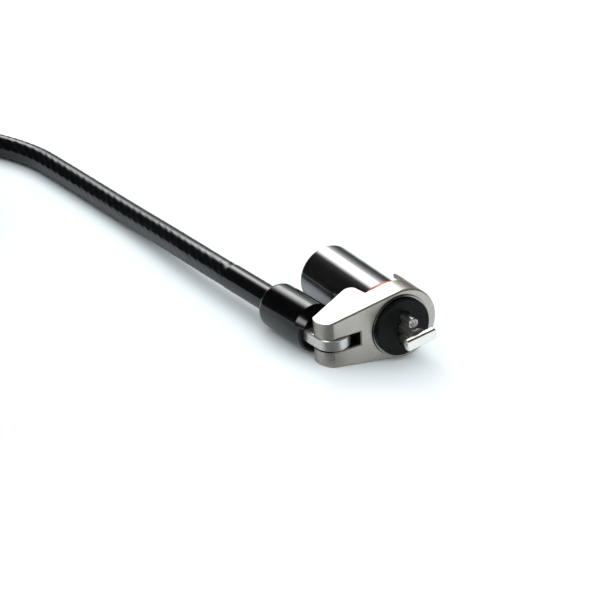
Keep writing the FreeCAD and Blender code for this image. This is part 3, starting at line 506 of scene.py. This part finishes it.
def makeFinish(name, ownFacts):
    facts = {**plainFinish, **ownFacts}
    material, tree = newMaterial(name)
    clean, dull = facts["rough"]
    hand = newUse(tree, handling, {"Clean": clean, "Dull": dull})
    if "wires" in facts:
        skin = newUse(tree, wireTrace, facts["wires"])
        color, normal = skin.outputs["Color"], skin.outputs["Normal"]
    else:
        color, normal = tintAndGrain(tree, facts)
    coat, coatRough = facts["coat"]
    feed(tree, tree.nodes["Principled BSDF"], {
        "Base Color": color,
        "Roughness": hand.outputs["Roughness"],
        "Normal": normal,
        "Metallic": facts["metal"],
        "Specular IOR Level": facts["shine"],
        "Specular Tint": opaque(facts["rim"]),
        "Coat Weight": coat,
        "Coat Roughness": coatRough,
    })
    return material


materials = {name: makeFinish(name, facts) for name, facts in finishes.items()}

discCount = 7
discs = ["code_disc_%d" % n for n in range(1, discCount + 1)]
spacers = ["disc_spacer_%d" % n for n in range(1, discCount + 1)]

wears = {
    "polishedBarrel": ["lock_body", "barrel_shell"],
    "satinBracket": ["swivel_bracket", "hinge_pin"],
    "brightSteel": ["t_bar", "guard_pin_upper", "guard_pin_lower"],
    "eyeSteel": ["eye_tang"],
    "blackDisc": ["nose_disc"],
    "bootMoulding": ["cable_boot"],
    "sleeveMoulding": ["smooth_sleeve"],
    "redWasher": ["swivel_washer"],
    "lockBrass": ["lock_core"] + discs,
    "lockSteel": ["stem_clip", "stop_pin", "side_bar", "key_disc", "rope_core"] + spacers,
}
for finish, names in wears.items():
    for name in names:
        nodes[name].data.materials.clear()
        nodes[name].data.materials.append(materials[finish])
print("stage: finishes")


# cable

mm = 0.001
hair = mm / 100  # less than this counts as nothing
facing = 0.9  # how squarely a face has to look along an axis

cable = {
    "radius": 2.65 * mm,
    "lay": 34 * mm,
    "relief": 0.012 * mm,
    "ringStep": 1.9 * mm,
    "sidesPerWire": 6,
    "length": 1.70,
    "curveOrder": 3,
    "curveSteps": 16,
}

coil = {
    "middle": Vector((-82.0, 112.0, 0)),
    "low": -3.48,
    "innerRadius": 22.55,
    "turnPitch": 5.75,
    "layerStep": 5.8,
    "startAngle": 90,
    "firstTurns": 2.25,
    "layerTurns": 2.0,
    "layers": 4,
    "climbAngle": 180,
    "pointStep": 18,
}


def coilAngle(layers):
    # how far round the coil has gone at the end of this many layers
    return 360 * (coil["firstTurns"] + coil["layerTurns"] * (layers - 1))


def coilPoint(angle):
    # spirals in, climbs a layer, spirals out, climbs again
    radius = coil["innerRadius"] + coil["turnPitch"] * coil["firstTurns"]
    climb = coil["climbAngle"]
    way, layer, before = -1, 0.0, 0.0
    for number in range(1, coil["layers"] + 1):
        reversal = coilAngle(number)
        span = min(angle, reversal) - before
        radius += way * coil["turnPitch"] * span / 360
        if number < coil["layers"]:
            share = min(max((angle - (reversal - climb / 2)) / climb, 0.0), 1.0)
            layer += 3 * share**2 - 2 * share**3
        if angle <= reversal:
            break
        before, way = reversal, -way
    along = math.radians(coil["startAngle"] + angle)
    flat = Vector((math.cos(along), math.sin(along), 0)) * radius
    return coil["middle"] + flat + Vector((0, 0, coil["low"] + coil["layerStep"] * layer))


def cableRoute():
    # millimetres: sleeve, table, round to the coil, the coil, and down to the crimp sleeve
    toCoil = [
        (-16.116, 37.978, -2.524),
        (-17.108, 49.936, -2.679),
        (-17.35, 64.0, -3.35),
        (-17.95, 79.0, -4.05),
        (-18.95, 95.0, -4.38),
        (-20.30, 110.0, -4.38),
        (-21.90, 125.5, -4.36),
        (-30.60, 139.0, -4.15),
        (-45.00, 147.3, -3.60),
        (-65.705, 147.908, -3.48),
        (-76.702, 147.624, -3.48),
    ]
    fromCoil = [
        (-116.192, 106.702, 13.92),
        (-116.488, 95.706, 13.92),
        (-115.90, 83.6, 9.3),
        (-114.00, 74.2, 0.9),
        (-113.341, 62.557, -3.63),
        (-111.878, 50.647, -3.63),
    ]
    steps = round(coilAngle(coil["layers"]) / coil["pointStep"])
    turns = [coilPoint(coil["pointStep"] * n) for n in range(steps + 1)]
    points = [Vector(p) for p in toCoil] + turns + [Vector(p) for p in fromCoil]
    return [p * mm for p in points]


def routeCurve(name, points):
    bpy.ops.object.select_all(action="DESELECT")
    data = bpy.data.curves.new(name, "CURVE")
    data.dimensions = "3D"
    data.resolution_u = cable["curveSteps"]
    spline = data.splines.new("NURBS")
    spline.points.add(len(points) - 1)
    for place, point in zip(points, spline.points):
        point.co = (*place, 1)
    spline.order_u = cable["curveOrder"]
    spline.use_endpoint_u = True
    curve = bpy.data.objects.new(name, data)
    bpy.context.scene.collection.objects.link(curve)
    return curve


def centreLine(curve, step):
    # places at even steps along the curve's own line
    graph = bpy.context.evaluated_depsgraph_get()
    line = bpy.data.meshes.new_from_object(curve.evaluated_get(graph))
    places = [v.co.copy() for v in line.vertices]
    bpy.data.meshes.remove(line)
    marks = [0.0]
    for a, b in zip(places, places[1:]):
        marks.append(marks[-1] + (b - a).length)
    count = max(2, round(marks[-1] / step))
    even, at = [places[0]], 0
    for number in range(1, count):
        target = marks[-1] * number / count
        while marks[at + 1] < target:
            at += 1
        share = (target - marks[at]) / (marks[at + 1] - marks[at])
        even.append(places[at].lerp(places[at + 1], share))
    even.append(places[-1])
    return even, marks[-1]


def wayAt(places, number):
    a, b = places[max(number - 1, 0)], places[min(number + 1, len(places) - 1)]
    return (b - a).normalized()


def jacketTube(name, places, length):
    # a tube whose skin shows the rope's wires: its vertices follow the twist
    sides = ropeWires * cable["sidesPerWire"]
    tube = bmesh.new()
    uvMap = tube.loops.layers.uv.new("jacket")
    ways = [wayAt(places, number) for number in range(len(places))]
    side = ways[0].orthogonal().normalized()
    rings = []
    for number, place in enumerate(places):
        if number:
            side = ways[number - 1].rotation_difference(ways[number]) @ side
            side = (side - ways[number] * side.dot(ways[number])).normalized()
        other = ways[number].cross(side)
        travelled = length * number / (len(places) - 1)
        twist = 2 * math.pi * travelled / cable["lay"]
        ring = []
        for corner in range(sides):
            angle = 2 * math.pi * corner / sides
            rise = abs(math.sin(angle * ropeWires / 2))
            reach = cable["radius"] - cable["relief"] * (1 - rise)
            out = side * math.cos(angle + twist) + other * math.sin(angle + twist)
            ring.append(tube.verts.new(place + out * reach))
        rings.append(ring)
    for number, (low, high) in enumerate(zip(rings, rings[1:])):
        for corner in range(sides):
            after = (corner + 1) % sides
            face = tube.faces.new((low[corner], low[after], high[after], high[corner]))
            face.smooth = True
            marks = ((corner, number), (corner + 1, number),
                     (corner + 1, number + 1), (corner, number + 1))
            for loop, (around, along) in zip(face.loops, marks):
                turns = along * length / (len(rings) - 1) / cable["lay"]
                loop[uvMap].uv = (around / sides, turns)
    for cap in (list(reversed(rings[0])), rings[-1]):
        for edge in tube.faces.new(cap).edges:
            edge.smooth = False
    mesh = bpy.data.meshes.new(name)
    tube.to_mesh(mesh)
    tube.free()
    piece = bpy.data.objects.new(name, mesh)
    bpy.context.scene.collection.objects.link(piece)
    piece.data.materials.append(materials["cableJacket"])
    return piece


def makeCord(name, points):
    curve = routeCurve(name + "Route", points)
    places, length = centreLine(curve, cable["ringStep"])
    piece = jacketTube(name, places, length)
    bpy.data.objects.remove(curve)
    print("%s length %.4f" % (name, length))
    return piece, places


lockCable, cablePlaces = makeCord("lockCable", cableRoute())
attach(lockCable, "cable_end")
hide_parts("cable_run", "cable_coil", "cable_tail")
print("stage: cable")


# anchor end: crimp sleeve and eye

anchor = {
    "place": Vector((-109.0, 51.0, -3.63)),
    "turn": 7.0,
    "strandsApart": 5.8,
    "loopRadius": 15.5,
    "loopStep": 20,
    "loopFirst": 130,
    "loopLast": 410,
    "loopMiddle": -44.95,
    "throat": [(0.0, 2.9), (-12.0, 2.9), (-22.0, 2.9), (-28.0, 4.5)],
    "strandShort": 1.0,
}


def anchorPlace(x, y):
    turn = Matrix.Rotation(math.radians(anchor["turn"]), 3, "Z")
    return (anchor["place"] + turn @ Vector((x, y, 0))) * mm


def loopRoute():
    # down the left strand, round the eye, back up the right strand
    reach = anchor["loopRadius"] / math.cos(math.radians(anchor["loopStep"] / 2))
    points = [anchorPlace(-x, y) for y, x in anchor["throat"]]
    for angle in range(anchor["loopFirst"], anchor["loopLast"] + 1, anchor["loopStep"]):
        along = math.radians(angle)
        x, y = reach * math.cos(along), anchor["loopMiddle"] + reach * math.sin(along)
        points.append(anchorPlace(x, y))
    back = [anchorPlace(x, y) for y, x in reversed(anchor["throat"])]
    back[-1] = anchorPlace(anchor["throat"][0][1], -anchor["strandShort"])
    return points + back


def makeLoop():
    piece = makeCord("anchorLoop", loopRoute())[0]
    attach(piece, "cable_end")
    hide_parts("end_loop")
    return piece


def pickParts(piece, kind, test):
    # leaves edit mode with only the faces, edges or vertices that pass the test selected
    bpy.ops.mesh.select_mode(type=kind)
    bpy.ops.mesh.select_all(action="DESELECT")
    shape = bmesh.from_edit_mesh(piece.data)
    for part in {"FACE": shape.faces, "EDGE": shape.edges, "VERT": shape.verts}[kind]:
        if test(part):
            part.select_set(True)
    if kind == "VERT":
        shape.select_flush(True)
    bmesh.update_edit_mesh(piece.data)


def applyModifier(piece, kind, **values):
    modifier = piece.modifiers.new(kind.lower(), kind)
    for key, value in values.items():
        setattr(modifier, key, value)
    bpy.ops.object.modifier_apply(modifier=modifier.name)


def roundEdges(piece, facts):
    applyModifier(piece, "BEVEL", width=facts["edge"] * mm, segments=facts["edgeSteps"],
                  limit_method="ANGLE", angle_limit=math.radians(facts["edgeAngle"]))


smoothBelow = 35  # degrees; sharper edges stay sharp


def setDown(piece, material, place, turn):
    # puts the piece in the frame with its place in its mesh
    piece.location = place
    piece.rotation_euler = (0, 0, math.radians(turn))
    bpy.ops.object.transform_apply(location=True, rotation=True, scale=True)
    bpy.ops.object.shade_smooth_by_angle(angle=math.radians(smoothBelow))
    piece.data.materials.clear()
    piece.data.materials.append(material)


crimpSleeve = {
    "length": 20.0,
    "radius": 3.4,
    "corners": 64,
    "crimps": (4.2, 10.0, 15.8),
    "crimpWidth": 2.6,
    "crimpDepth": 0.30,
    "crimpShoulder": 0.5,
    "crimpMargin": 0.1,
    "mouthWall": 0.55,
    "mouthDepth": 0.5,
    "edge": 0.18,
    "edgeSteps": 2,
    "edgeAngle": 40,
}


def pressCrimps(piece, facts):
    # rings for the pressed bands first, then the bands
    length = facts["length"] * mm
    halfBand = facts["crimpWidth"] / 2
    wide = halfBand + facts["crimpShoulder"]
    for crimp in facts["crimps"]:
        for reach in (-wide, -halfBand, halfBand, wide):
            cut = (crimp + reach) * mm - length / 2
            bpy.ops.mesh.select_all(action="SELECT")
            bpy.ops.mesh.bisect(plane_co=(0, cut, 0), plane_no=(0, 1, 0))
    flat = 1 - facts["crimpDepth"] / facts["radius"]
    inside = (halfBand + facts["crimpMargin"]) * mm
    for crimp in facts["crimps"]:
        middle = crimp * mm - length / 2
        pickParts(piece, "VERT", lambda vert: abs(vert.co.y - middle) < inside)
        bpy.ops.transform.resize(value=(1, 1, flat))


def makeCrimpSleeve():
    facts = crimpSleeve
    half = anchor["strandsApart"] / 2 * mm
    bpy.ops.object.select_all(action="DESELECT")
    bpy.ops.mesh.primitive_cylinder_add(
        vertices=facts["corners"], radius=facts["radius"] * mm, depth=facts["length"] * mm,
        rotation=(math.pi / 2, 0, 0))
    piece = bpy.context.object
    piece.name = "crimpSleeve"
    bpy.ops.object.transform_apply(rotation=True)
    bpy.ops.object.mode_set(mode="EDIT")
    for side in (-1, 1):
        pickParts(piece, "VERT", lambda vert: vert.co.x * side > hair)
        bpy.ops.transform.translate(value=(side * half, 0, 0))
    pressCrimps(piece, facts)
    # mouths: a wall left round the strands
    for end in (-1, 1):
        pickParts(piece, "FACE", lambda face: face.normal.y * end > facing)
        bpy.ops.mesh.inset(thickness=facts["mouthWall"] * mm)
        bpy.ops.mesh.extrude_region_move(
            TRANSFORM_OT_translate={"value": (0, -end * facts["mouthDepth"] * mm, 0)})
    bpy.ops.object.mode_set(mode="OBJECT")
    roundEdges(piece, facts)
    setDown(piece, materials["crimpMetal"], anchorPlace(0, -facts["length"] / 2),
            anchor["turn"])
    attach(piece, "cable_end")
    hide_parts("end_sleeve")
    return piece


# strap round the coil

coilTie = {
    "angle": 300,
    "width": 6.0,
    "thickness": 0.8,
    "room": 0.2,
    "corner": 1.5,
    "cornerSteps": 6,
    "floor": -7.03,
    "tabLength": 9.0,
    "tabGap": 0.05,
    "edge": 0.2,
    "edgeSteps": 2,
    "edgeAngle": 50,
}


def tiePlan():
    # how far the bundle reaches from the coil's middle, and how high
    facts = coilTie
    first = (facts["angle"] - coil["startAngle"]) % 360
    places = [coilPoint(a) for a in range(first, round(coilAngle(coil["layers"])), 360)]
    middle = coil["middle"]
    radii = [(p - Vector((middle.x, middle.y, p.z))).length for p in places]
    room = cable["radius"] / mm + facts["room"] + facts["thickness"]
    top = max(p.z for p in places) + room
    return min(radii) - room, max(radii) + room, facts["floor"], top


def runsAlongY(edge):
    along = edge.verts[1].co - edge.verts[0].co
    return abs(along.y) > abs(along.x) + abs(along.z)


def addTab(piece, facts):
    # the strap's end lies on the inner side, over itself
    pickParts(piece, "FACE", lambda face: face.normal.x < -facing)
    bpy.ops.mesh.duplicate_move(
        TRANSFORM_OT_translate={"value": (-(facts["thickness"] + facts["tabGap"]) * mm, 0, 0)})
    shape = bmesh.from_edit_mesh(piece.data)
    tab = [v for v in shape.verts if v.select]
    tabLow = min(v.co.z for v in tab)
    for vert in tab:
        if vert.co.z > tabLow + hair:
            vert.co.z = tabLow + facts["tabLength"] * mm
    bmesh.update_edit_mesh(piece.data)


def makeTie():
    facts = coilTie
    low, high, floor, top = tiePlan()
    bpy.ops.object.select_all(action="DESELECT")
    bpy.ops.mesh.primitive_cube_add(
        size=mm, location=((low + high) / 2 * mm, 0, (floor + top) / 2 * mm))
    piece = bpy.context.object
    piece.name = "coilTie"
    piece.scale = (high - low, facts["width"], top - floor)
    bpy.ops.object.transform_apply(location=True, scale=True)
    bpy.ops.object.mode_set(mode="EDIT")
    pickParts(piece, "EDGE", runsAlongY)
    bpy.ops.mesh.bevel(offset=facts["corner"] * mm, segments=facts["cornerSteps"])
    pickParts(piece, "FACE", lambda face: abs(face.normal.y) > facing)
    bpy.ops.mesh.delete(type="FACE")
    addTab(piece, facts)
    bpy.ops.object.mode_set(mode="OBJECT")
    applyModifier(piece, "SOLIDIFY", thickness=facts["thickness"] * mm, offset=-1)
    roundEdges(piece, facts)
    middle = coil["middle"] * mm
    setDown(piece, materials["tieStrap"], (middle.x, middle.y, 0), facts["angle"])
    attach(piece, "cable_end")
    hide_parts("coil_tie")
    return piece


cordPieces = [makeCrimpSleeve(), makeLoop(), makeTie()]
print("stage: anchor end and strap")
